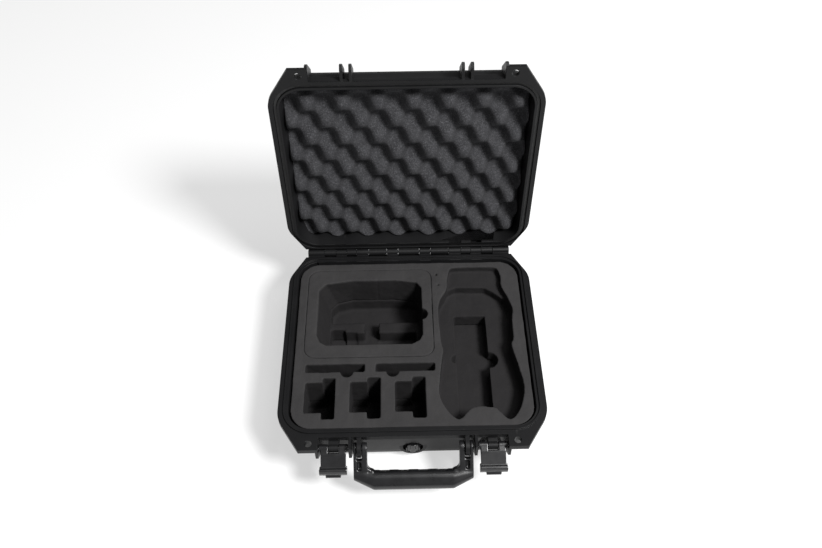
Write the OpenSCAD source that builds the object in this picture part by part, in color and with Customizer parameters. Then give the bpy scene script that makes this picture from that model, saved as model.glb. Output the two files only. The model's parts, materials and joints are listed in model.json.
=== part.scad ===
// Hard carrying case for a folding camera drone, open, with cut foam inside.
// X runs along the hinge, +Y points to the hinge side and +Z up. The origin is the centre of
// the face that the base rests on. The lid, latches and handle are drawn where they stand open.

/* [Case] */
// Width of the two rims, side to side
case_w = 310; // [306:1:322]
// Depth of the two rims, from the hinge side to the latch side
case_d = 268; // [266:1:276]
// Height of the base up to its rim
base_h = 80; // [78:1:92]
// Height of the lid above its rim
lid_h = 42; // [41:1:50]
// Thickness of the moulded walls
wall = 3.5; // [3:0.1:4]
// Angle from the closed lid to the open lid
lid_open = 91; // [60:1:100]

/* [Latches] */
// Distance from the middle of the case to the middle of each latch
latch_x = 90; // [89:0.5:91]
// Width of a latch body
latch_w = 28.4; // [26:0.1:29]
// Angle from a closed latch to one hanging open
latch_open = 125; // [90:1:130]

/* [Handle] */
// Reach of the handle, from its pins to the outer edge of the grip
handle_reach = 47; // [45:0.5:52]
// Angle of the handle below level
handle_droop = 42; // [0:1:80]

/* [Foam] */
// Depth of the upper foam layer
upper_t = 42; // [40:1:44]
// Distance of the foam's top below the base rim
foam_drop = 3; // [2:0.5:5]
// Distance of the lid foam's face inside the lid's rim
lid_foam_drop = 7; // [6:0.5:14]
// Gap between foam and shell
foam_gap = 2; // [1.8:0.1:2.4]

/* [Hidden] */

$fn = 64;
eps = 0.2;

shell_color = "#1d1e20";
rubber_color = "#101012";
steel_color = "#9da1a6";
foam_color = "#3a3b3d";

// Rims: front and hinge edges, plate thicknesses and the corner arcs of the outline
rim_front = -case_d / 2;
rim_back = case_d / 2;
base_rim_t = 7;
lid_rim_t = 5;
corner_r = 36;
corner_x = case_w / 2 - corner_r;
front_arc_y = rim_front + corner_r;
back_arc_y = rim_back - 45;
front_cut_a = 32;
back_cut_a = 28.6;
ear_y = rim_front - 15.5;
ear_x = 107;

// Hollow of each shell: its mouth, its corner radius and how far it narrows
mouth_w = case_w - 24;
mouth_d = case_d - 19.5;
mouth_y = 1.25;
mouth_r = 27;
base_draft = 7;
base_edge = 22;
lid_draft = 3.5;
lid_edge = 14;

// Tongue on the base rim and the groove and seal that take it
tongue_out = 4.6;
tongue_t = 2.4;
tongue_h = 2;
groove_t = 4;
groove_h = 3.2;
seal_t = 3.6;
seal_h = 1;

// Hinge, in line with the parting face
rim_gap = 0.2;
hinge_y = rim_back + 7;
hinge_z = base_h + rim_gap;
knuckle_r = 4.6;
hinge_pin_r = 1.6;
pin_gap = 0.06;
knuckle_gap = 0.4;
shelf_t = 2.6;
hinge_ends = [14, 29, 53, 69, 82, 96, 111, 133];

// Front ribs, latch bays and handle lugs
rib_t = 3.2;
bay_out_x = latch_x + 18.5;
bay_in_x = latch_x - 19;
lug_x = 61;
lug_t = 4.8;
lug_r = 10.5;
catch_t = 9;

// Latches
latch_y = rim_front - 7;
latch_z = base_h - 12;
latch_pin_r = 1.5;
latch_knuckle_r = 4.5;
tongue_w = 11;
knuckle_w = 32.6;
lip_w = 31;
tab_w = 17;
hook_v = 21.9;

// Handle
handle_y = rim_front - 8;
handle_z = base_h - 12;
handle_pin_r = 2;
arm_r = 7;
arm_in_x = 52;
arm_out_x = 67.5;
grip_in = handle_reach - 22.5;
grip_flat_x = 45;

// Relief valve in the middle of the front wall
valve_z = 30;
valve_r = 8.5;
recess_r = 12;
recess_y = rim_front + 17.5;
valve_land_y = recess_y + 5;
sleeve_r = 5;
stub_r = 3;

// Foam layers
foam_top = base_h - foam_drop;
upper_z = foam_top - upper_t;
lower_z = 10;
ring_x = -51;
ring_y = 44;
ring_w = 158;
ring_d = 136;
cut_gap = 0.15;
seam_step = 0.8;
battery_pitch = 53;
battery_x = -126;

function arc_pts(cx, cy, r, a0, a1, n) =
    [for (i = [0:n]) let (a = a0 + (a1 - a0) * i / n) [cx + r * cos(a), cy + r * sin(a)]];

// Closed smooth curve through the points p, with n steps between neighbours
function loop_through(p, n) = [for (i = [0:len(p) - 1], k = [0:n - 1]) let (
        t = k / n, a = p[(i + len(p) - 1) % len(p)], b = p[i], c = p[(i + 1) % len(p)],
        d = p[(i + 2) % len(p)])
    b + 0.5 * t * (c - a + t * (2 * a - 5 * b + 4 * c - d + t * (3 * b - a - 3 * c + d)))];

// How far a hollow h deep with edge radius e has drawn in from its mouth at height z
function drawn_in(z, h, e, draft) = draft * min(1, (h - z) / (h - wall - e))
    + (z < wall + e ? e - sqrt(e * e - (wall + e - z) * (wall + e - z)) : 0);

// Right half of a rim's outline: hinge edge, angled corner, side, angled ear, front edge
half_rim = concat(
    [[0, rim_front], [ear_x, rim_front], [ear_x, ear_y], [ear_x + 22, ear_y]],
    arc_pts(corner_x, front_arc_y, corner_r, -front_cut_a, 0, 8),
    arc_pts(corner_x, back_arc_y, corner_r, 0, back_cut_a, 8),
    [[corner_x + 16.4, rim_back], [0, rim_back]]);

module both_sides() {
    children();
    mirror([1, 0, 0]) children();
}

module rim_outline() {
    both_sides() polygon(half_rim);
    square([2, case_d], center = true);
}

module rounded_plate(w, d, r) {
    square([w - 2 * r, d], center = true);
    square([w, d - 2 * r], center = true);
    for (x = [-1, 1], y = [-1, 1])
        translate([x * (w / 2 - r), y * (d / 2 - r)]) circle(r);
}

// One level of a hollow or wall, grown outwards by out
module level(z, out, t = 0.1) {
    translate([0, mouth_y, z]) linear_extrude(t)
        rounded_plate(mouth_w + 2 * out, mouth_d + 2 * out, mouth_r + out);
}

// Outside of a tub with rounded bottom edges, standing on z = 0, h high and cut off at cut
module tub_outside(h, edge, draft, cut) {
    hull() {
        for (a = [0:22.5:90])
            level(edge * (1 - cos(a)), wall - draft - edge * (1 - sin(a)));
        level(cut, wall - draft * (h - cut) / h);
    }
}

module tub_inside(h, edge, draft) {
    hull() {
        for (a = [0:22.5:90])
            level(wall + (edge - wall) * (1 - cos(a)), -draft - (edge - wall) * (1 - sin(a)));
        level(h + 1, eps / 4);
    }
}

// Solid foam between two heights in a hollow h deep, standing clear of the shell
module foam_block(z0, z1, h, edge, draft) {
    top = z1 - 0.1;
    bends = z0 < edge ? 3 : 0;
    heights = concat([for (i = [0:bends]) z0 + i * (min(top, edge) - z0) / 3],
                     top > edge ? [top] : []);
    hull() {
        for (z = heights)
            level(z, -foam_gap - drawn_in(z, h, edge - wall, draft));
    }
}

// Plate of thickness t standing across X, outlined in Y and Z
module cross_plate(x, t, pts) {
    translate([x - t / 2, 0, 0]) rotate([90, 0, 90]) linear_extrude(t) polygon(pts);
}

module rod_x(x0, x1, y, z, r) {
    translate([x0, y, z]) rotate([0, 90, 0]) cylinder(r = r, h = x1 - x0);
}

module ear_holes(z0, z1) {
    both_sides() translate([ear_x + 10.5, rim_front - 7.5, z0]) cylinder(d = 8, h = z1 - z0);
}

// Ring that follows the mouth at a distance out, t wide
module rim_ring(out, t, h) {
    translate([0, mouth_y, 0]) linear_extrude(h) difference() {
        rounded_plate(mouth_w + 2 * out + t, mouth_d + 2 * out + t, mouth_r + out + t / 2);
        rounded_plate(mouth_w + 2 * out - t, mouth_d + 2 * out - t, mouth_r + out - t / 2);
    }
}

// Hinge knuckles: the base takes the even spans, the lid the odd ones
module knuckles(spans, web_z) {
    for (s = spans) both_sides() {
        rod_x(s[0], s[1], hinge_y, hinge_z, knuckle_r);
        translate([s[0], rim_back - 9, web_z]) cube([s[1] - s[0], hinge_y - rim_back + 9, 4]);
    }
}

// Shelf that joins the roots of the knuckles along the rim
module hinge_shelf(z) {
    translate([-hinge_ends[7], rim_back - 7, z])
        cube([2 * hinge_ends[7], hinge_y - rim_back + 7, shelf_t]);
}

module hinge_bore() {
    rod_x(-hinge_ends[7] - 1, hinge_ends[7] + 1, hinge_y, hinge_z, hinge_pin_r + pin_gap);
}

// ---------- Base ----------

module base_front_ribs() {
    both_sides() {
        for (x = [bay_in_x, bay_out_x])
            cross_plate(x, rib_t, [[-115, base_h - eps], [ear_y, base_h - eps],
                                   [ear_y, latch_z - 8], [rim_front + 11, 28], [-115, 28]]);
        cross_plate(lug_x, lug_t, [[-115, base_h - eps], [handle_y, base_h - eps - 1.3],
                                   [handle_y + 7.5, handle_z - 7.4], [rim_front + 11, 40],
                                   [-115, 40]]);
        rod_x(lug_x - lug_t / 2, lug_x + lug_t / 2, handle_y, handle_z, lug_r);
        cross_plate(latch_x, tongue_w, [[-115, base_h - 6], [latch_y + 3, latch_z + 3.4],
                                        [latch_y, latch_z - 4], [rim_front + 9, 52], [-115, 52]]);
        rod_x(latch_x - tongue_w / 2, latch_x + tongue_w / 2, latch_y, latch_z, latch_knuckle_r);
    }
}

module valve_seat() {
    translate([0, valve_land_y, valve_z]) rotate([90, 0, 0]) cylinder(r = recess_r + 4, h = 12);
}

module valve_cuts() {
    translate([0, recess_y, valve_z]) rotate([90, 0, 0]) cylinder(r = recess_r, h = 20);
    translate([0, valve_land_y + 1, valve_z]) rotate([90, 0, 0])
        cylinder(r = sleeve_r + pin_gap, h = 10);
}

module base_shell() {
    color(shell_color) difference() {
        union() {
            difference() {
                union() {
                    tub_outside(base_h, base_edge, base_draft, base_h - base_rim_t + 1);
                    translate([0, 0, base_h - base_rim_t]) linear_extrude(base_rim_t) rim_outline();
                    hinge_shelf(hinge_z - knuckle_r - knuckle_gap - shelf_t);
                    base_front_ribs();
                }
                tub_inside(base_h, base_edge, base_draft);
            }
            intersection() {
                valve_seat();
                translate([-30, recess_y - 4.5, 0]) cube([60, 9.5, base_h]);
            }
            translate([0, 0, base_h - eps]) rim_ring(tongue_out, tongue_t, tongue_h + eps);
            knuckles([for (i = [0, 2, 4, 6]) [hinge_ends[i] + knuckle_gap / 2,
                                             hinge_ends[i + 1] - knuckle_gap / 2]],
                     hinge_z - knuckle_r + 0.2);
        }
        valve_cuts();
        hinge_bore();
        ear_holes(base_h - base_rim_t - 1, base_h + 1);
        both_sides() {
            rod_x(bay_in_x - 5, bay_out_x + 5, latch_y, latch_z, latch_pin_r + pin_gap);
            rod_x(lug_x - 5, lug_x + 4, handle_y, handle_z, handle_pin_r + pin_gap);
        }
    }
}

// ---------- Foam in the base ----------

module base_foam(z0, z1) {
    foam_block(z0, z1, base_h, base_edge, base_draft);
}

module ring_outline(grow) {
    translate([ring_x, ring_y]) rounded_plate(ring_w + 2 * grow, ring_d + 2 * grow, 14 + grow);
}

// Pocket for the folded drone, with bulges for its folded arms
module drone_outline() {
    polygon(loop_through([[57, 114], [84, 114.5], [110, 114], [116, 108], [118, 98], [118, 82],
                          [125, 62], [129, 45], [127, 28], [126, 0], [123, -11], [129, -45],
                          [132, -73], [124, -100], [112, -113], [101, -103], [94, -97], [70, -97],
                          [54, -112], [41, -100], [32, -76], [37, -30], [39, -15], [37, -1],
                          [36, 53], [47, 78], [49, 95], [52, 109]], 4));
}

// Part of the drone pocket that lies deeper than the shelf under the drone's nose
module drone_deep_side() {
    polygon([[25, -120], [140, -120], [140, 60], [118, 70], [107, 81], [97, 87.5], [60, 88.5],
             [50, 84], [42, 72], [25, 60]]);
}

module drone_well() {
    translate([56, -95]) square([40, 146]);
    for (c = [[95.5, -16, 11.7], [56, -14, 6]])
        translate([c[0], c[1]]) circle(c[2]);
}

// Spare battery pocket with its wider half set deeper front and back
module battery_outline() {
    translate([0, -100]) square([21.5, 41]);
    translate([20.5, -108.5]) square([15.5, 55.5]);
}

module battery_pockets() {
    for (i = [0:2]) translate([battery_x + battery_pitch * i, 0]) battery_outline();
}

// Slot for a filter case or cards, with a half-round finger notch
module slot_outline(x, notch_x) {
    translate([x, -45]) square([71, 11.5]);
    translate([notch_x, -45]) circle(7.5);
}

// Mouth of the controller pocket, w wide from its right side
module controller_mouth(w) {
    polygon([[29 - w, -6], [1, -6], [11, 0], [15, 8], [15, 82], [9, 91], [-20, 95], [-75, 95],
             [23 - w, 90], [15 - w, 80], [15 - w, 10], [20 - w, -1]]);
}

// Lower compartments of the controller pocket: x, y, floor above the lower layer, width, depth
module controller_floors() {
    for (c = [[-103, 6, -1, 18.5, 42], [-85, 6, 3, 16, 38], [-69.5, 6, 5, 29, 36],
              [-59, 6, 5, 18, 60], [-41, 6, 4, 49, 36], [-103, 58, 5, 120, 38]])
        translate([c[0], c[1], lower_z + c[2]]) cube([c[3], c[4], 60]);
}

module relief_notch(z1) {
    translate([-20, -130, 0]) cube([40, 24, z1]);
}

module floor_foam() {
    color(foam_color) difference() {
        base_foam(wall + 0.2, lower_z - 0.1);
        relief_notch(base_h);
    }
}

module lower_foam() {
    color(foam_color) difference() {
        base_foam(lower_z, upper_z - 0.1);
        translate([0, 0, lower_z + 6]) linear_extrude(60)
            offset(delta = seam_step) battery_pockets();
        intersection() {
            translate([0, 0, -1]) linear_extrude(base_h) controller_mouth(118);
            controller_floors();
        }
        relief_notch(base_h / 2 + 12);
    }
}

module upper_foam() {
    color(foam_color) difference() {
        base_foam(upper_z, foam_top);
        translate([0, 0, -1]) linear_extrude(base_h * 2) ring_outline(cut_gap);
        translate([0, 0, foam_top - 10]) linear_extrude(60) drone_outline();
        translate([0, 0, foam_top - 23]) linear_extrude(60) intersection() {
            drone_outline();
            drone_deep_side();
        }
        translate([0, 0, -1]) linear_extrude(base_h * 2) drone_well();
        for (p = [[35, 103], [37, 86]])
            translate([p[0], p[1], foam_top - 8]) cylinder(r = 1.6, h = 20);
        translate([0, 0, foam_top - 30]) linear_extrude(60) {
            slot_outline(-127, -77);
            slot_outline(-43, -22.5);
        }
        translate([0, 0, -1]) linear_extrude(base_h * 2) battery_pockets();
        relief_notch(valve_z + 16);
    }
}

// Loose ring of foam round the controller pocket
module controller_ring_foam() {
    color(foam_color) difference() {
        translate([0, 0, upper_z]) linear_extrude(upper_t) ring_outline(0);
        hull() {
            translate([0, 0, upper_z - 1]) linear_extrude(0.1) controller_mouth(118);
            translate([0, 0, foam_top + 1]) linear_extrude(0.1) controller_mouth(132);
        }
        translate([13, 40, foam_top - 22]) cylinder(r = 9, h = 30);
        translate([-43, 88, upper_z - 1]) cube([3, 9.5, base_h]);
    }
}

// ---------- Pins ----------

module hinge_pin() {
    color(steel_color) rod_x(-hinge_ends[7] + 1, hinge_ends[7] - 1, hinge_y, hinge_z, hinge_pin_r);
}

module latch_pin(side) {
    color(steel_color) translate([side * latch_x, 0, 0])
        rod_x(-19.9, 19.9, latch_y, latch_z, latch_pin_r);
}

module handle_pin(side) {
    color(steel_color) translate([side * (arm_in_x + arm_out_x) / 2, 0, 0])
        rod_x(-7.2, 7.2, handle_y, handle_z, handle_pin_r);
}

module latch_pin_left() { latch_pin(-1); }
module latch_pin_right() { latch_pin(1); }
module handle_pin_left() { handle_pin(-1); }
module handle_pin_right() { handle_pin(1); }

// ---------- Relief valve ----------

// Turned shape along the valve's axis: distance from the outside face of the recess, outwards
module on_valve_axis(out) {
    translate([0, recess_y - out, valve_z]) rotate([90, 0, 0]) children();
}

module valve_body() {
    color(shell_color) difference() {
        union() {
            on_valve_axis(-9.5) cylinder(r = sleeve_r, h = 10.5);
            on_valve_axis(1) cylinder(r = 7.8, h = 1.6);
            on_valve_axis(2) cylinder(r = stub_r, h = 4.2);
        }
        on_valve_axis(-10) cylinder(r = 2.6, h = 9);
        on_valve_axis(-2) cylinder(r = 0.8, h = 10);
    }
}

module valve_seal() {
    color(rubber_color) on_valve_axis(0.02) difference() {
        cylinder(r = 7.4, h = 0.95);
        translate([0, 0, -1]) cylinder(r = sleeve_r + 0.1, h = 3);
    }
}

module valve_nut() {
    color(shell_color) on_valve_axis(-8.1) difference() {
        cylinder(r = 8.2, h = 3, $fn = 6);
        translate([0, 0, -1]) cylinder(r = sleeve_r + pin_gap, h = 5);
    }
}

module valve_membrane() {
    color("white") on_valve_axis(-6) cylinder(r = 2.55, h = 0.4);
}

module valve_knob() {
    color(shell_color) on_valve_axis(2.9) difference() {
        cylinder(r = valve_r, h = 4.6);
        translate([0, 0, -1]) cylinder(r = stub_r + pin_gap, h = 4.7);
        for (a = [0:30:330]) rotate(a) translate([valve_r + 0.7, 0, -1]) cylinder(r = 1.3, h = 8);
        for (s = [-1, 1]) translate([s * 4.6 - 1.8, -9, 3.2]) cube([3.6, 18, 3]);
    }
}

// ---------- Lid ----------

// Lid pieces are drawn closed, then swung up about the hinge
module swing_lid() {
    translate([0, hinge_y, hinge_z]) rotate([-lid_open, 0, 0])
        translate([0, -hinge_y, rim_gap]) children();
}

// Places a tub, drawn standing on z = 0, upside down as the lid
module as_lid() {
    translate([0, 0, lid_h]) mirror([0, 0, 1]) children();
}

module lid_front_ribs() {
    both_sides() {
        for (x = [lug_x, bay_in_x, bay_out_x])
            cross_plate(x, rib_t, [[-115, eps], [ear_y + 1, eps], [ear_y - 2.5, 5],
                                   [ear_y - 0.5, 10], [rim_front + 9, 36], [-115, 36]]);
        translate([bay_in_x, -115, eps]) mirror([0, 1, 0])
            cube([bay_out_x - bay_in_x, -115 - rim_front, catch_t - eps]);
    }
}

module lid_shell() {
    color(shell_color) swing_lid() difference() {
        union() {
            difference() {
                union() {
                    as_lid() tub_outside(lid_h, lid_edge, lid_draft, lid_h - lid_rim_t + 1);
                    linear_extrude(lid_rim_t) rim_outline();
                    hinge_shelf(knuckle_r + knuckle_gap - rim_gap);
                    lid_front_ribs();
                }
                as_lid() tub_inside(lid_h, lid_edge, lid_draft);
            }
            translate([0, 0, -hinge_z - rim_gap])
                knuckles([for (i = [1, 3, 5]) [hinge_ends[i] + knuckle_gap / 2,
                                               hinge_ends[i + 1] - knuckle_gap / 2],
                          [-hinge_ends[0] + knuckle_gap / 2, hinge_ends[0] - knuckle_gap / 2]],
                         hinge_z + 0.4);
        }
        translate([0, 0, -eps]) rim_ring(tongue_out, groove_t, groove_h + eps);
        translate([0, 0, -hinge_z - rim_gap]) hinge_bore();
        ear_holes(-1, lid_rim_t + 1);
    }
}

module lid_seal() {
    color(rubber_color) swing_lid()
        translate([0, 0, groove_h - seal_h]) rim_ring(tongue_out, seal_t, seal_h);
}

module lid_foam() {
    color(foam_color) swing_lid() as_lid()
        foam_block(wall + 0.2, lid_h - lid_foam_drop, lid_h, lid_edge, lid_draft);
}

// ---------- Latches ----------

module hang_latch(side) {
    translate([side * latch_x, latch_y, latch_z]) rotate([latch_open, 0, 0]) children();
}

// Slice of the latch w wide, outlined as it stands closed: outwards from its pin, then up
module latch_slice(w, pts) {
    cross_plate(0, w, [for (p = pts) [-p[0], p[1]]]);
}

module latch(side) {
    color(shell_color) hang_latch(side) difference() {
        union() {
            rod_x(-knuckle_w / 2, knuckle_w / 2, 0, 0, latch_knuckle_r);
            latch_slice(latch_w, [[-4.4, 0], [-5.2, 6], [-5.2, 22.2], [-1.6, 22.2], [2.2, 8],
                                  [4.4, 0.5]]);
            latch_slice(lip_w, [[-11, hook_v], [-11.4, 24.4], [-9.6, 27.2], [-6, 29.2], [-2.4, 29.8],
                                [-0.4, 28.4], [-0.2, 24], [-1.4, 20], [-5, 20], [-5.4, hook_v]]);
            latch_slice(tab_w, [[-5.8, 28], [-5.2, 31.6], [-3.6, 32.6], [-2, 31.8], [-1.6, 28]]);
        }
        rod_x(-20, 20, 0, 0, latch_pin_r + pin_gap);
        translate([-tongue_w / 2 - 0.6, -8, -8]) cube([tongue_w + 1.2, 16, 13.4]);
    }
}

module latch_left() { latch(-1); }
module latch_right() { latch(1); }

// ---------- Handle ----------

module grip_section() {
    translate([-handle_reach + 11, 0]) rounded_plate(22, 18, 8);
}

// Grip end: from the thick grip to the outer corner of an arm
module grip_end() {
    hull() {
        translate([grip_flat_x - 0.1, 0, 0]) rotate([90, 0, 90]) linear_extrude(0.1, $fn = 32)
            grip_section();
        translate([arm_out_x - 3, -grip_in - 1.5, 0]) rotate([90, 0, 90])
            linear_extrude(3, $fn = 32) translate([-3.5, 0]) rounded_plate(12, 13, 5);
        translate([arm_in_x + 1, -grip_in, 0]) rotate([90, 0, 90])
            linear_extrude(3, $fn = 32) translate([-6, 0]) rounded_plate(12, 15, 5);
    }
}

module handle() {
    color(shell_color) translate([0, handle_y, handle_z]) rotate([handle_droop, 0, 0])
    difference() {
        union() {
            rotate([90, 0, 90]) translate([0, 0, -grip_flat_x])
                linear_extrude(2 * grip_flat_x) grip_section();
            both_sides() {
                grip_end();
                rod_x(arm_in_x, arm_out_x, 0, 0, arm_r);
                translate([arm_in_x, -grip_in - 4, -arm_r + 0.6])
                    cube([arm_out_x - arm_in_x, grip_in + 4, 2 * arm_r - 1.2]);
                translate([arm_in_x - 7, -grip_in - 5, -6]) linear_extrude(12) difference() {
                    square([8, 12]);
                    translate([0.5, 12]) circle(6.5);
                }
            }
        }
        both_sides() {
            rod_x(arm_in_x - 1, arm_out_x + 1, 0, 0, handle_pin_r + pin_gap);
            translate([lug_x - lug_t / 2 - 0.5, -12.5, -20]) cube([lug_t + 1, 40, 40]);
            translate([lug_x - 2.2, -grip_in + 0.5, 1]) cube([4.4, grip_in - 14.5, 20]);
        }
        // Finger hollows between three raised pads on the inner side of the grip
        for (x = [-33, -11, 11, 33])
            translate([x - 5.7, -grip_in - 1.6, -20]) cube([11.4, 6, 40]);
    }
}

base_shell();
floor_foam();
lower_foam();
upper_foam();
controller_ring_foam();
hinge_pin();
latch_pin_left();
latch_pin_right();
handle_pin_left();
handle_pin_right();
valve_body();
valve_nut();
valve_seal();
valve_membrane();
valve_knob();
lid_shell();
lid_seal();
lid_foam();
latch_left();
latch_right();
handle();
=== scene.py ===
# %% [markdown]
# # An open hard case with cut foam
# The case is two black moulded shells on a hinge pin. The base holds layers of charcoal foam
# with pockets cut for a folding drone, its controller and three batteries, and the lid holds
# a sheet of egg-crate foam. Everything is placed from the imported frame, so this first cell
# loads it and notes the size of the plain model before anything is added.

# %% Load the frame
import json
import math

import bmesh
import bpy
import numpy as np
from mathutils import Matrix, Vector, noise


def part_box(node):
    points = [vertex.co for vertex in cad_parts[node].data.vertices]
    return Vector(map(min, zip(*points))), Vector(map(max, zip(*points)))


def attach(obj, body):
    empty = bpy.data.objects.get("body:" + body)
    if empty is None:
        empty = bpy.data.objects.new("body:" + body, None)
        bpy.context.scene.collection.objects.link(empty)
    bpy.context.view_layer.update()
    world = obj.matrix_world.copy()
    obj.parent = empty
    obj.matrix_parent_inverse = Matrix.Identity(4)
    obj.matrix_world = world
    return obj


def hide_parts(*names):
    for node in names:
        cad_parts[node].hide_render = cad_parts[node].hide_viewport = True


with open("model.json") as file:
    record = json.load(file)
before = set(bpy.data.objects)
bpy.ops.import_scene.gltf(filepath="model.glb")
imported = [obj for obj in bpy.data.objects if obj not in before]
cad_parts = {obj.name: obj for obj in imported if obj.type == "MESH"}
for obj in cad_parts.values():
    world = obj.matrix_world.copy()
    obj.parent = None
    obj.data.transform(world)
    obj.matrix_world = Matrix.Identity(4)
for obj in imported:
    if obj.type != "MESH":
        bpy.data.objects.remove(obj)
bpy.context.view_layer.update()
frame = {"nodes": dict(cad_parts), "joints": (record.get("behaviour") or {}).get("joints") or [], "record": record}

MM = 0.001
scene = bpy.context.scene
bodies = frame["record"]["behaviour"]["bodies"]
body_of = {n: body for body, nodes in bodies.items() for n in nodes}
slot_of = {s["node"]: s["material_slot"] for s in frame["record"]["subparts"]}
print("nodes", len(frame["nodes"]))

# %% [markdown]
# ## The camera
# The case is seen from in front and above, about fifty degrees down, from a little over a
# metre away. A camera matrix is three directions and a place: its right, its up, and the
# way it looks reversed. Pitch, a slight turn and a slight roll give those directions.

# %% Camera
CAMERA_PLACE = Vector((-7.6, -602.8, 929.1)) * MM
CAMERA_PITCH = math.radians(50.3)
CAMERA_TURN = math.radians(0.81)
CAMERA_ROLL = math.radians(0.42)
LENS_MM = 37.19

camera = bpy.data.objects.new("camera", bpy.data.cameras.new("camera"))
scene.collection.objects.link(camera)
camera.data.lens = LENS_MM
camera.data.sensor_width = 36
camera.data.clip_start, camera.data.clip_end = 0.05, 20
looks_down = Matrix.Rotation(math.pi / 2 - CAMERA_PITCH, 4, "X")
camera.matrix_world = (Matrix.Translation(CAMERA_PLACE) @ Matrix.Rotation(-CAMERA_TURN, 4, "Z")
                       @ looks_down @ Matrix.Rotation(-CAMERA_ROLL, 4, "Z"))
scene.camera = camera
looks_along = camera.matrix_world.to_3x3() @ Vector((0, 0, -1))
print("camera looks along", [round(v, 4) for v in looks_along])

# %% [markdown]
# ## Light and floor
# A soft lamp stands high at the right and in front, so that shadows fall to the left and back
# and the right-hand walls of the pockets go dark. A broader, weaker lamp hangs almost overhead
# and draws the long highlights on the black plastic. A little even light comes from all round.
# The floor is a pale sheet that glows a little, which keeps its shadows pale.

# %% Lamps, surrounding light and floor
LAMPS = {"side_lamp": ((0.46, -0.38, 0.80), 2.6, 0.6, 112),
         "top_lamp": ((0.30, -0.05, 0.95), 2.3, 1.0, 14)}
AROUND_STRENGTH = 0.23

for name, (direction, distance, size, watts) in LAMPS.items():
    lamp = bpy.data.objects.new(name, bpy.data.lights.new(name, "AREA"))
    lamp.data.shape = "DISK"
    lamp.data.size = size
    lamp.data.energy = watts
    lamp.location = Vector(direction).normalized() * distance
    lamp.rotation_euler = Vector(direction).to_track_quat("Z", "Y").to_euler()
    scene.collection.objects.link(lamp)
    print(name, "at", [round(v, 2) for v in lamp.location])

scene.world = bpy.data.worlds.new("studio")
scene.world.use_nodes = True
around = scene.world.node_tree.nodes["Background"]
around.inputs["Color"].default_value = (1, 1, 1, 1)
around.inputs["Strength"].default_value = AROUND_STRENGTH
scene.view_settings.view_transform = "Standard"

floor_material = bpy.data.materials.new("pale_floor")
floor_material.use_nodes = True
floor_shader = floor_material.node_tree.nodes["Principled BSDF"]
floor_shader.inputs["Base Color"].default_value = (0.34, 0.34, 0.34, 1)
floor_shader.inputs["Roughness"].default_value = 0.9
floor_shader.inputs["Emission Color"].default_value = (1, 1, 1, 1)
floor_shader.inputs["Emission Strength"].default_value = 0.57

floor_mesh = bpy.data.meshes.new("floor")
floor_mesh.from_pydata([(-6, -6, 0), (6, -6, 0), (6, 6, 0), (-6, 6, 0)], [], [(0, 1, 2, 3)])
floor_mesh.materials.append(floor_material)
floor = bpy.data.objects.new("floor", floor_mesh)
scene.collection.objects.link(floor)
print("floor", [round(v, 1) for v in floor.dimensions])

# %% [markdown]
# ## Shader sums as plain expressions
# A material is a graph, but most of it is arithmetic. `Wire` stands for one output of one
# node and turns `a * 2 + b` into the Math nodes that do it; colours go through Mix nodes and
# vectors through Vector Math, because a Math node would turn a colour grey. `Finish` is one
# material, and its `add` makes any other node.

# %% Wire and Finish
class Wire:
    """One socket's output, which can be added, multiplied and so on."""

    def __init__(self, finish, out):
        self.finish = finish
        self.out = out

    def _sum(self, maths, mix, first, second):
        kinds = {getattr(v, "out", None) and v.out.type for v in (first, second)}
        if "RGBA" in kinds:
            return self.finish.mix(1, first, second, mix)
        if "VECTOR" in kinds:
            return self.finish.add("ShaderNodeVectorMath", {"operation": maths},
                                   {0: first, 1: second})
        return self.finish.add("ShaderNodeMath", {"operation": maths}, {0: first, 1: second})

    def __add__(self, other):
        return self._sum("ADD", "ADD", self, other)

    def __radd__(self, other):
        return self._sum("ADD", "ADD", other, self)

    def __sub__(self, other):
        return self._sum("SUBTRACT", "SUBTRACT", self, other)

    def __rsub__(self, other):
        return self._sum("SUBTRACT", "SUBTRACT", other, self)

    def __mul__(self, other):
        return self._sum("MULTIPLY", "MULTIPLY", self, other)

    def __rmul__(self, other):
        return self._sum("MULTIPLY", "MULTIPLY", other, self)


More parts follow.
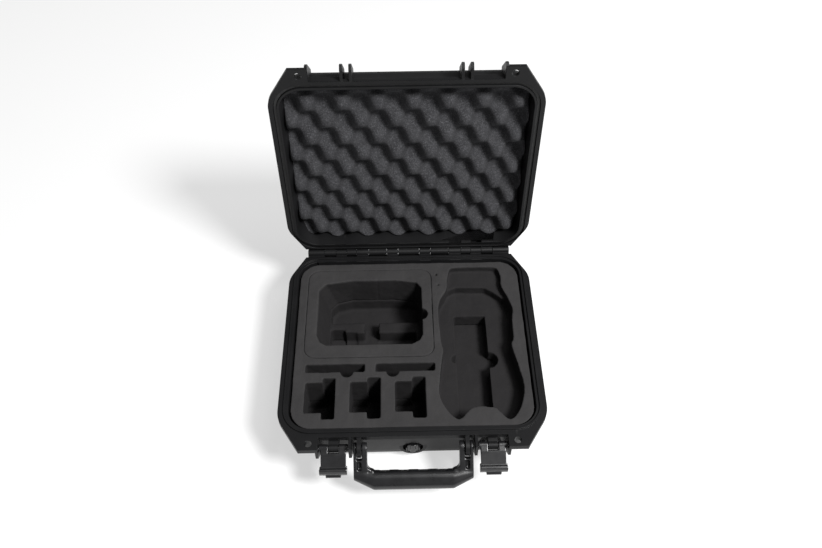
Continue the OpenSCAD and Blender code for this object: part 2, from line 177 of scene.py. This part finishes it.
class Finish:
    """One procedural material on a Principled shader."""

    def __init__(self, name, **uniform):
        self.material = bpy.data.materials.new(name)
        self.material.use_nodes = True
        self.tree = self.material.node_tree
        self.shader = self.tree.nodes["Principled BSDF"]
        for socket, value in uniform.items():
            self.shader.inputs[socket.replace("_", " ")].default_value = value
        self.where = self.add("ShaderNodeTexCoord", out="Object")

    def feed(self, socket, value):
        """Links a wire to a socket, or sets the socket to a number, colour or vector."""
        if isinstance(value, Wire):
            self.tree.links.new(value.out, socket)
        elif hasattr(socket.default_value, "__len__") and not hasattr(value, "__len__"):
            socket.default_value = [value] * 3 + [1] * (len(socket.default_value) - 3)
        elif hasattr(value, "__len__") and len(socket.default_value) > len(value):
            socket.default_value = (*value, 1)
        else:
            socket.default_value = value

    def add(self, kind, settings=None, inputs=None, out=0):
        """A node of this kind, with its settings first and then its inputs; gives one output."""
        node = self.tree.nodes.new(kind)
        for name, value in (settings or {}).items():
            setattr(node, name, value)
        for name, value in (inputs or {}).items():
            self.feed(node.inputs[name], value)
        return Wire(self, node.outputs[out])

    def mix(self, share, first, second, blend="MIX"):
        return self.add("ShaderNodeMix", {"data_type": "RGBA", "blend_type": blend},
                        {0: share, 6: first, 7: second}, out=2)

    def noise(self, size, detail=3, roughness=0.5, where=None, out="Fac"):
        """Cloudy noise whose blobs are about size metres across."""
        return self.add("ShaderNodeTexNoise", {},
                        {"Vector": where or self.where, "Scale": 1 / size, "Detail": detail,
                         "Roughness": roughness}, out)

    def cells(self, size):
        return self.add("ShaderNodeTexVoronoi", {"feature": "F1"},
                        {"Vector": self.where, "Scale": 1 / size}, "Distance")

    def ramp(self, value, low, high):
        """0 below low, 1 above high and a straight line between."""
        return self.add("ShaderNodeMapRange", {"clamp": True},
                        {"Value": value, "From Min": low, "From Max": high})

    def bump(self, height, depth, strength=1.0):
        """Feeds the normal from a height that stands for depth metres."""
        wire = self.add("ShaderNodeBump", {},
                        {"Strength": strength, "Distance": depth, "Height": height})
        self.feed(self.shader.inputs["Normal"], wire)

    def looks(self, colour, roughness):
        self.feed(self.shader.inputs["Base Color"], colour)
        self.feed(self.shader.inputs["Roughness"], roughness)
        return self.material


print("shader helpers ready")

# %% [markdown]
# ## Moulded plastic
# The shells come out of an etched mould, which leaves a fine pebble on every face. Close up
# it is rounded cells under half a millimetre deep; from a metre it only breaks up the shine.
# Handling leaves faint scuffs and a little dust, so colour and roughness wander slowly too.

# %% Pebbled shell plastic
PEBBLE = 0.9 * MM
PEBBLE_DEPTH = 0.05 * MM


def pebbled_plastic():
    f = Finish("pebbled_shell_plastic", Specular_IOR_Level=0.16)
    pebbles = f.cells(PEBBLE) * 0.7 + f.noise(PEBBLE * 0.45, detail=2) * 0.3
    drift = f.noise(45 * MM, detail=4)
    dust = f.ramp(f.noise(1.6 * MM, detail=5, roughness=0.7), 0.60, 0.78)
    dust = dust * f.ramp(drift, 0.42, 0.68)
    stretched = f.add("ShaderNodeMapping", {}, {"Vector": f.where, "Scale": (1, 0.09, 1)})
    scuffs = f.ramp(f.noise(3.2 * MM, detail=6, roughness=0.6, where=stretched), 0.66, 0.74)
    colour = f.mix(f.ramp(drift, 0.3, 0.7), (0.0050, 0.0050, 0.0054), (0.0078, 0.0078, 0.0082))
    colour = f.mix(dust * 0.16 + scuffs * 0.10, colour, (0.050, 0.049, 0.048))
    f.bump(pebbles, PEBBLE_DEPTH, 0.8)
    return f.looks(colour, f.noise(20 * MM) * 0.10 + pebbles * 0.10 + scuffs * 0.06 + 0.34)


# %% [markdown]
# Latches, handle and knob are harder plastic from a finer mould. They are handled more, so
# they carry a slight polish with hairline rub marks instead of a pebble.

# %% Satin plastic
def satin_plastic():
    f = Finish("satin_grip_plastic", Specular_IOR_Level=0.55)
    grain = f.noise(0.35 * MM, detail=3)
    polish = f.noise(14 * MM, detail=3)
    along = f.add("ShaderNodeMapping", {}, {"Vector": f.where, "Scale": (0.05, 1, 1)})
    rubs = f.ramp(f.noise(0.9 * MM, detail=4, roughness=0.7, where=along), 0.62, 0.74)
    colour = f.mix(f.ramp(polish, 0.3, 0.7), (0.0055, 0.0055, 0.0060), (0.0090, 0.0090, 0.0098))
    colour = f.mix(rubs * 0.12, colour, (0.050, 0.050, 0.052))
    f.bump(grain * 0.8 + rubs * 0.2, 0.03 * MM, 0.7)
    return f.looks(colour, polish * 0.12 + grain * 0.06 + rubs * 0.08 + 0.20)


# %% [markdown]
# ## Foam
# The pocket foam is closed-cell sheet, cut by a blade: matte charcoal with a skin of tiny
# cells, a little rubbed where hands pass; the middles of the cells are painted darker as
# painted shade in their pits. Below its top the cut walls and floors are painted darker, as
# painted shade in the pockets. The lid foam is open-cell, so its cells are larger; pale specks
# are painted highlight on their torn rims and dark specks are painted shade in their holes.

# %% Cut foam and egg-crate foam
FOAM_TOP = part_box("upper_foam")[1].z


def cut_foam():
    f = Finish("cut_charcoal_foam", Roughness=0.95, Specular_IOR_Level=0.14)
    height = f.add("ShaderNodeSeparateXYZ", {}, {0: f.where}, out="Z")
    # Painted shade: below the top few millimetres the foam is painted at half its colour, for the shade in the
    # pockets.
    above_painted_shade = f.ramp(height, FOAM_TOP - 4 * MM, FOAM_TOP - 1 * MM)
    cells = f.cells(0.8 * MM)
    grit = f.noise(1.1 * MM, detail=4, roughness=0.65)
    cloud = f.noise(30 * MM, detail=4, roughness=0.6)
    smear = f.add("ShaderNodeMapping", {}, {"Vector": f.where, "Scale": (1, 0.25, 1)})
    rubbed = f.ramp(f.noise(9 * MM, detail=4, roughness=0.6, where=smear), 0.52, 0.75)
    colour = f.mix(f.ramp(cloud, 0.3, 0.7), (0.0225, 0.0218, 0.0222), (0.0285, 0.0276, 0.0280))
    colour = f.mix(rubbed * 0.35, colour, (0.036, 0.0350, 0.0352))
    colour = f.mix(f.ramp(grit, 0.42, 0.66) * 0.30, colour, (0.043, 0.042, 0.0425))
    # Painted shade: the middles of the tiny cells are painted darker, for the shade in their pits.
    colour = f.mix(f.ramp(cells, 0.05, 0.35) * -0.35 + 0.35, colour, (0.008, 0.008, 0.008))
    # Painted shade: the walls and floors below the top take the darkened colour.
    colour = f.mix(above_painted_shade, colour * (0.50, 0.49, 0.50), colour)
    f.bump(grit * 0.6 + cells * 0.4, 0.22 * MM, 0.7)
    return f.looks(colour, cloud * 0.06 + 0.90)


def crate_foam():
    f = Finish("egg_crate_foam", Roughness=0.95, Specular_IOR_Level=0.20)
    cells = f.cells(1.5 * MM)
    rim_bumps_and_painted_specks = f.noise(1.3 * MM, detail=5, roughness=0.7)
    cloud = f.noise(26 * MM, detail=3)
    colour = f.mix(f.ramp(cloud, 0.3, 0.7), (0.021, 0.021, 0.023), (0.027, 0.027, 0.029))
    # Painted highlight: pale specks stand for light caught on the torn cell rims.
    colour = f.mix(f.ramp(rim_bumps_and_painted_specks, 0.52, 0.66) * 0.8, colour, (0.085, 0.085, 0.091))
    # Painted shade: dark specks stand for shade in the open cell holes.
    colour = f.mix(f.ramp(rim_bumps_and_painted_specks, 0.46, 0.34) * 0.8, colour, (0.009, 0.009, 0.010))
    f.bump(rim_bumps_and_painted_specks * 0.6 + cells * 0.4, 0.5 * MM, 0.8)
    return f.looks(colour, cloud * 0.06 + 0.90)


# %% [markdown]
# ## The small materials
# The seal is soft rubber with a bloom of moulding chalk, the pins are drawn steel with fine
# marks round them, and the valve's membrane is a felted white film.

# %% Rubber, steel and membrane
def seal_rubber():
    f = Finish("seal_rubber", Specular_IOR_Level=0.35)
    bloom = f.noise(6 * MM, detail=5, roughness=0.65)
    colour = f.mix(f.ramp(bloom, 0.45, 0.75), (0.0085, 0.0085, 0.0088), (0.0220, 0.0220, 0.0225))
    f.bump(f.noise(0.5 * MM, detail=2), 0.03 * MM, 0.6)
    return f.looks(colour, bloom * 0.22 + 0.42)


def drawn_steel():
    f = Finish("drawn_steel", Metallic=1.0)
    around_pin = f.add("ShaderNodeMapping", {}, {"Vector": f.where, "Scale": (1, 0.05, 0.05)})
    rings = f.noise(0.4 * MM, detail=3, where=around_pin)
    tarnish = f.ramp(f.noise(4 * MM, detail=4), 0.45, 0.75)
    colour = f.mix(tarnish, (0.52, 0.53, 0.54), (0.33, 0.32, 0.31))
    f.bump(rings, 0.015 * MM, 0.5)
    return f.looks(colour, rings * 0.12 + tarnish * 0.12 + 0.24)


def felted_film():
    f = Finish("breathing_film", Specular_IOR_Level=0.3)
    fibres = f.noise(0.25 * MM, detail=4, roughness=0.7)
    f.bump(fibres, 0.04 * MM, 0.6)
    return f.looks(f.mix(fibres, (0.50, 0.50, 0.48), (0.72, 0.72, 0.70)), fibres * 0.1 + 0.7)


finishes = {"shell_plastic": pebbled_plastic(), "latch_plastic": satin_plastic(),
            "foam": cut_foam(), "lid_foam": crate_foam(), "pin_steel": drawn_steel(),
            "seal_rubber": seal_rubber(), "membrane": felted_film()}
for node, obj in frame["nodes"].items():
    obj.data.materials.clear()
    obj.data.materials.append(finishes[slot_of[node]])
print("finishes", sorted(finishes))

# %% [markdown]
# ## Standing in for a frame node
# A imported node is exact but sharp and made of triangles. `fresh_copy` welds one and melts
# its flat triangles into whole faces, and `stand_in` makes the result ride on the node's
# body, take its slot and hide the plain node.

# %% Copy and stand in
WELD = 0.002 * MM
FLAT_ANGLE = math.radians(0.1)


def fresh_copy(node, name):
    """A new object with the node's shape, welded and with flat areas made whole."""
    shape = bmesh.new()
    shape.from_mesh(frame["nodes"][node].data)
    bmesh.ops.remove_doubles(shape, verts=shape.verts, dist=WELD)
    bmesh.ops.dissolve_limit(shape, angle_limit=FLAT_ANGLE, verts=shape.verts,
                             edges=shape.edges)
    mesh = bpy.data.meshes.new(name)
    shape.to_mesh(mesh)
    shape.free()
    piece = bpy.data.objects.new(name, mesh)
    scene.collection.objects.link(piece)
    return piece


def stand_in(piece, node):
    piece.data.materials.clear()
    piece.data.materials.append(finishes[slot_of[node]])
    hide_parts(node)
    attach(piece, body_of[node])
    return piece


def settle(piece):
    """Applies the piece's modifiers, so its mesh is the shape that shows."""
    depsgraph = bpy.context.evaluated_depsgraph_get()
    mesh = bpy.data.meshes.new_from_object(piece.evaluated_get(depsgraph))
    piece.modifiers.clear()
    piece.data = mesh
    return mesh


# %% [markdown]
# ## Hard parts with eased edges
# No moulded or turned edge is perfectly sharp, and the thin highlight along it is most of
# what makes black plastic readable. A Bevel modifier rounds each edge, and Weighted Normal
# keeps the flat faces looking flat beside it.

# %% Shells and small hard parts
EASE = {"base_shell": 0.24, "lid_shell": 0.24, "hinge_pin": 0.25, "latch_pin_left": 0.25,
        "latch_pin_right": 0.25, "handle_pin_left": 0.3, "handle_pin_right": 0.3,
        "valve_body": 0.25, "valve_nut": 0.25, "valve_seal": 0.15, "valve_membrane": 0.08,
        "valve_knob": 0.35, "lid_seal": 0.3}
EASED_ANGLE = 28


def ease_edges(node, radius):
    piece = fresh_copy(node, node + "_moulded")
    piece.data.shade_smooth()
    piece.data.set_sharp_from_angle(angle=math.radians(EASED_ANGLE))
    bevel = piece.modifiers.new("eased_edges", "BEVEL")
    bevel.width = radius * MM
    bevel.segments = 2
    bevel.limit_method = "ANGLE"
    bevel.angle_limit = math.radians(EASED_ANGLE)
    bevel.use_clamp_overlap = False
    bevel.harden_normals = False
    flat = piece.modifiers.new("flat_faces", "WEIGHTED_NORMAL")
    flat.keep_sharp = True
    return stand_in(piece, node)


for node, radius in EASE.items():
    piece = ease_edges(node, radius)
    print(piece.name, len(piece.data.polygons), "faces before easing")

# %% [markdown]
# ## Latches and handle
# These are thick mouldings with generous radii, so they get a different treatment: a voxel
# remesh turns the plain shape into an even skin, and smoothing it rounds every edge at once,
# the way a hand-finished mould would.

# %% Rounded mouldings
ROUNDED = {"latch_left": (0.45, 3), "latch_right": (0.45, 3), "handle": (0.8, 5)}


def round_over(node, voxel, passes):
    piece = fresh_copy(node, node + "_moulded")
    remesh = piece.modifiers.new("even_skin", "REMESH")
    remesh.mode = "VOXEL"
    remesh.voxel_size = voxel * MM
    smooth = piece.modifiers.new("round_over", "SMOOTH")
    smooth.factor = 0.5
    smooth.iterations = passes
    settle(piece).shade_smooth()
    return stand_in(piece, node)


for node, (voxel, passes) in ROUNDED.items():
    piece = round_over(node, voxel, passes)
    print(piece.name, len(piece.data.polygons), "faces")

# %% [markdown]
# ## Cut foam layers
# A blade goes through foam with a slight wander and the cut edge relaxes into a small
# radius. The same remesh gives the radius, and slow noise pushed along the normals gives
# the wander.

# %% Base foam
FOAM_VOXEL = {"upper_foam": 1.2, "controller_ring_foam": 1.2, "lower_foam": 1.6, "floor_foam": 3.0}
WANDER = 0.45 * MM
WANDER_SIZE = 16 * MM


def wander(mesh, amount, size, seed):
    """Moves each vertex along its normal by smooth noise."""
    places, normals = (np.empty(len(mesh.vertices) * 3, np.float32) for _ in range(2))
    mesh.vertices.foreach_get("co", places)
    mesh.vertex_normals.foreach_get("vector", normals)
    places, normals = places.reshape(-1, 3), normals.reshape(-1, 3)
    offset = Vector((seed * 7.3, seed * 3.1, seed * 5.7))
    push = [noise.noise(Vector(p) / size + offset)
            + 0.5 * noise.noise(Vector(p) / (size * 0.4) + offset) for p in places.tolist()]
    places += normals * (np.array(push, np.float32)[:, None] * amount)
    mesh.vertices.foreach_set("co", places.ravel())
    mesh.update()


def relax_foam(node, voxel, seed):
    piece = fresh_copy(node, node + "_cut")
    remesh = piece.modifiers.new("even_skin", "REMESH")
    remesh.mode = "VOXEL"
    remesh.voxel_size = voxel * MM
    smooth = piece.modifiers.new("relaxed_edge", "SMOOTH")
    smooth.factor = 0.5
    smooth.iterations = 2
    mesh = settle(piece)
    mesh.shade_smooth()
    wander(mesh, WANDER, WANDER_SIZE, seed)
    stand_in(piece, node)
    return piece


for seed, (node, voxel) in enumerate(FOAM_VOXEL.items()):
    piece = relax_foam(node, voxel, seed)
    print(piece.name, len(piece.data.polygons), "faces")

# %% [markdown]
# ## Egg-crate foam in the lid
# Convoluted foam is a sheet squeezed between toothed rollers and split, which leaves rows of
# round peaks and hollows like an egg tray: the product of a wave across and a wave along.
# It is a height field on a grid, whose corners are bent to the lid's rounded outline, with
# sides and a back so that it is a closed pad. The grid is laid in the closed lid's own
# directions and then swung up with the lid.

# %% The lid's own directions
hinge = next(j for j in frame["joints"] if j["child"] == "lid")
hinge_place = Vector(hinge["pos_m"])
lid_hole = next(m for m in frame["record"]["mounts"] if m["name"] == "padlock_hole_lid_left")
lid_angle = math.atan2(lid_hole["axis"][1], lid_hole["axis"][2])
swing = (Matrix.Translation(hinge_place) @ Matrix.Rotation(-lid_angle, 4, "X")
         @ Matrix.Translation(-hinge_place))
closed = np.array([swing.inverted() @ v.co for v in frame["nodes"]["lid_foam"].data.vertices])
pad_low, pad_high = closed.min(0), closed.max(0)
print("lid stands open at", round(math.degrees(lid_angle), 2))
print("pad", pad_low.round(4), pad_high.round(4))

# %% Egg-crate pad
PEAK_STEP = (20 * MM, 25 * MM)
FIRST_PEAK = (46.5 * MM, 242.5 * MM)
WAVE = 9.0 * MM
STEEPNESS = 1.0
PAD_CORNER = 24 * MM
PAD_GRID = 1.5 * MM
EDGE_ROLL = 2.2 * MM
BACK_SHARE = 0.985


def rounded_place(u, v, half_w, half_d, corner):
    """Bends a grid point near a square corner onto a round one; u and v run from the middle."""
    a = max(0.0, (abs(u) - (half_w - corner)) / corner)
    b = max(0.0, (abs(v) - (half_d - corner)) / corner)
    if a == 0 or b == 0:
        return u, v
    x = half_w - corner + corner * a * math.sqrt(1 - b * b / 2)
    y = half_d - corner + corner * b * math.sqrt(1 - a * a / 2)
    return math.copysign(x, u), math.copysign(y, v)


def egg_height(x, y):
    """Height of the foam's face above its mean, with x and y from its front left corner."""
    wave = math.cos(math.pi * (x - FIRST_PEAK[0]) / PEAK_STEP[0])
    wave *= math.cos(math.pi * (y - FIRST_PEAK[1]) / PEAK_STEP[1])
    uneven = noise.noise(Vector((x, y, 0.3)) / (30 * MM)) * 0.9 * MM
    return WAVE * math.tanh(wave * STEEPNESS) / math.tanh(STEEPNESS) + uneven


def egg_crate_pad():
    half_w, half_d = (pad_high[0] - pad_low[0]) / 2, (pad_high[1] - pad_low[1]) / 2
    middle = (pad_low + pad_high) / 2
    across, along = (int(2 * half / PAD_GRID) for half in (half_w, half_d))
    shape = bmesh.new()
    front, back = [], []
    for j in range(along + 1):
        for i in range(across + 1):
            u, v = (2 * i / across - 1) * half_w, (2 * j / along - 1) * half_d
            inset = min(half_w - abs(u), half_d - abs(v))
            roll = EDGE_ROLL * max(0.0, 1 - inset / EDGE_ROLL) ** 2
            u, v = rounded_place(u, v, half_w, half_d, PAD_CORNER)
            depth = WAVE - egg_height(u + half_w, half_d - v) + roll
            front.append(shape.verts.new((middle[0] + u, middle[1] + v, pad_low[2] + depth)))
            back.append(shape.verts.new((middle[0] + u * BACK_SHARE, middle[1] + v * BACK_SHARE,
                                         pad_high[2])))
    row = across + 1
    for j in range(along):
        for i in range(across):
            k = j * row + i
            shape.faces.new([front[k], front[k + row], front[k + row + 1], front[k + 1]])
            shape.faces.new([back[k], back[k + 1], back[k + row + 1], back[k + row]])
    rim = ([k for k in range(across)] + [j * row + across for j in range(along)]
           + [along * row + i for i in range(across, 0, -1)]
           + [j * row for j in range(along, 0, -1)])
    for k, n in zip(rim, rim[1:] + rim[:1]):
        shape.faces.new([front[k], front[n], back[n], back[k]])
    shape.transform(swing)
    bmesh.ops.recalc_face_normals(shape, faces=shape.faces)
    mesh = bpy.data.meshes.new("egg_crate_pad")
    shape.to_mesh(mesh)
    shape.free()
    mesh.shade_smooth()
    mesh.set_sharp_from_angle(angle=math.radians(60))
    piece = bpy.data.objects.new("egg_crate_pad", mesh)
    scene.collection.objects.link(piece)
    stand_in(piece, "lid_foam")
    return piece


egg_pad = egg_crate_pad()
print(egg_pad.name, len(egg_pad.data.polygons), "faces")
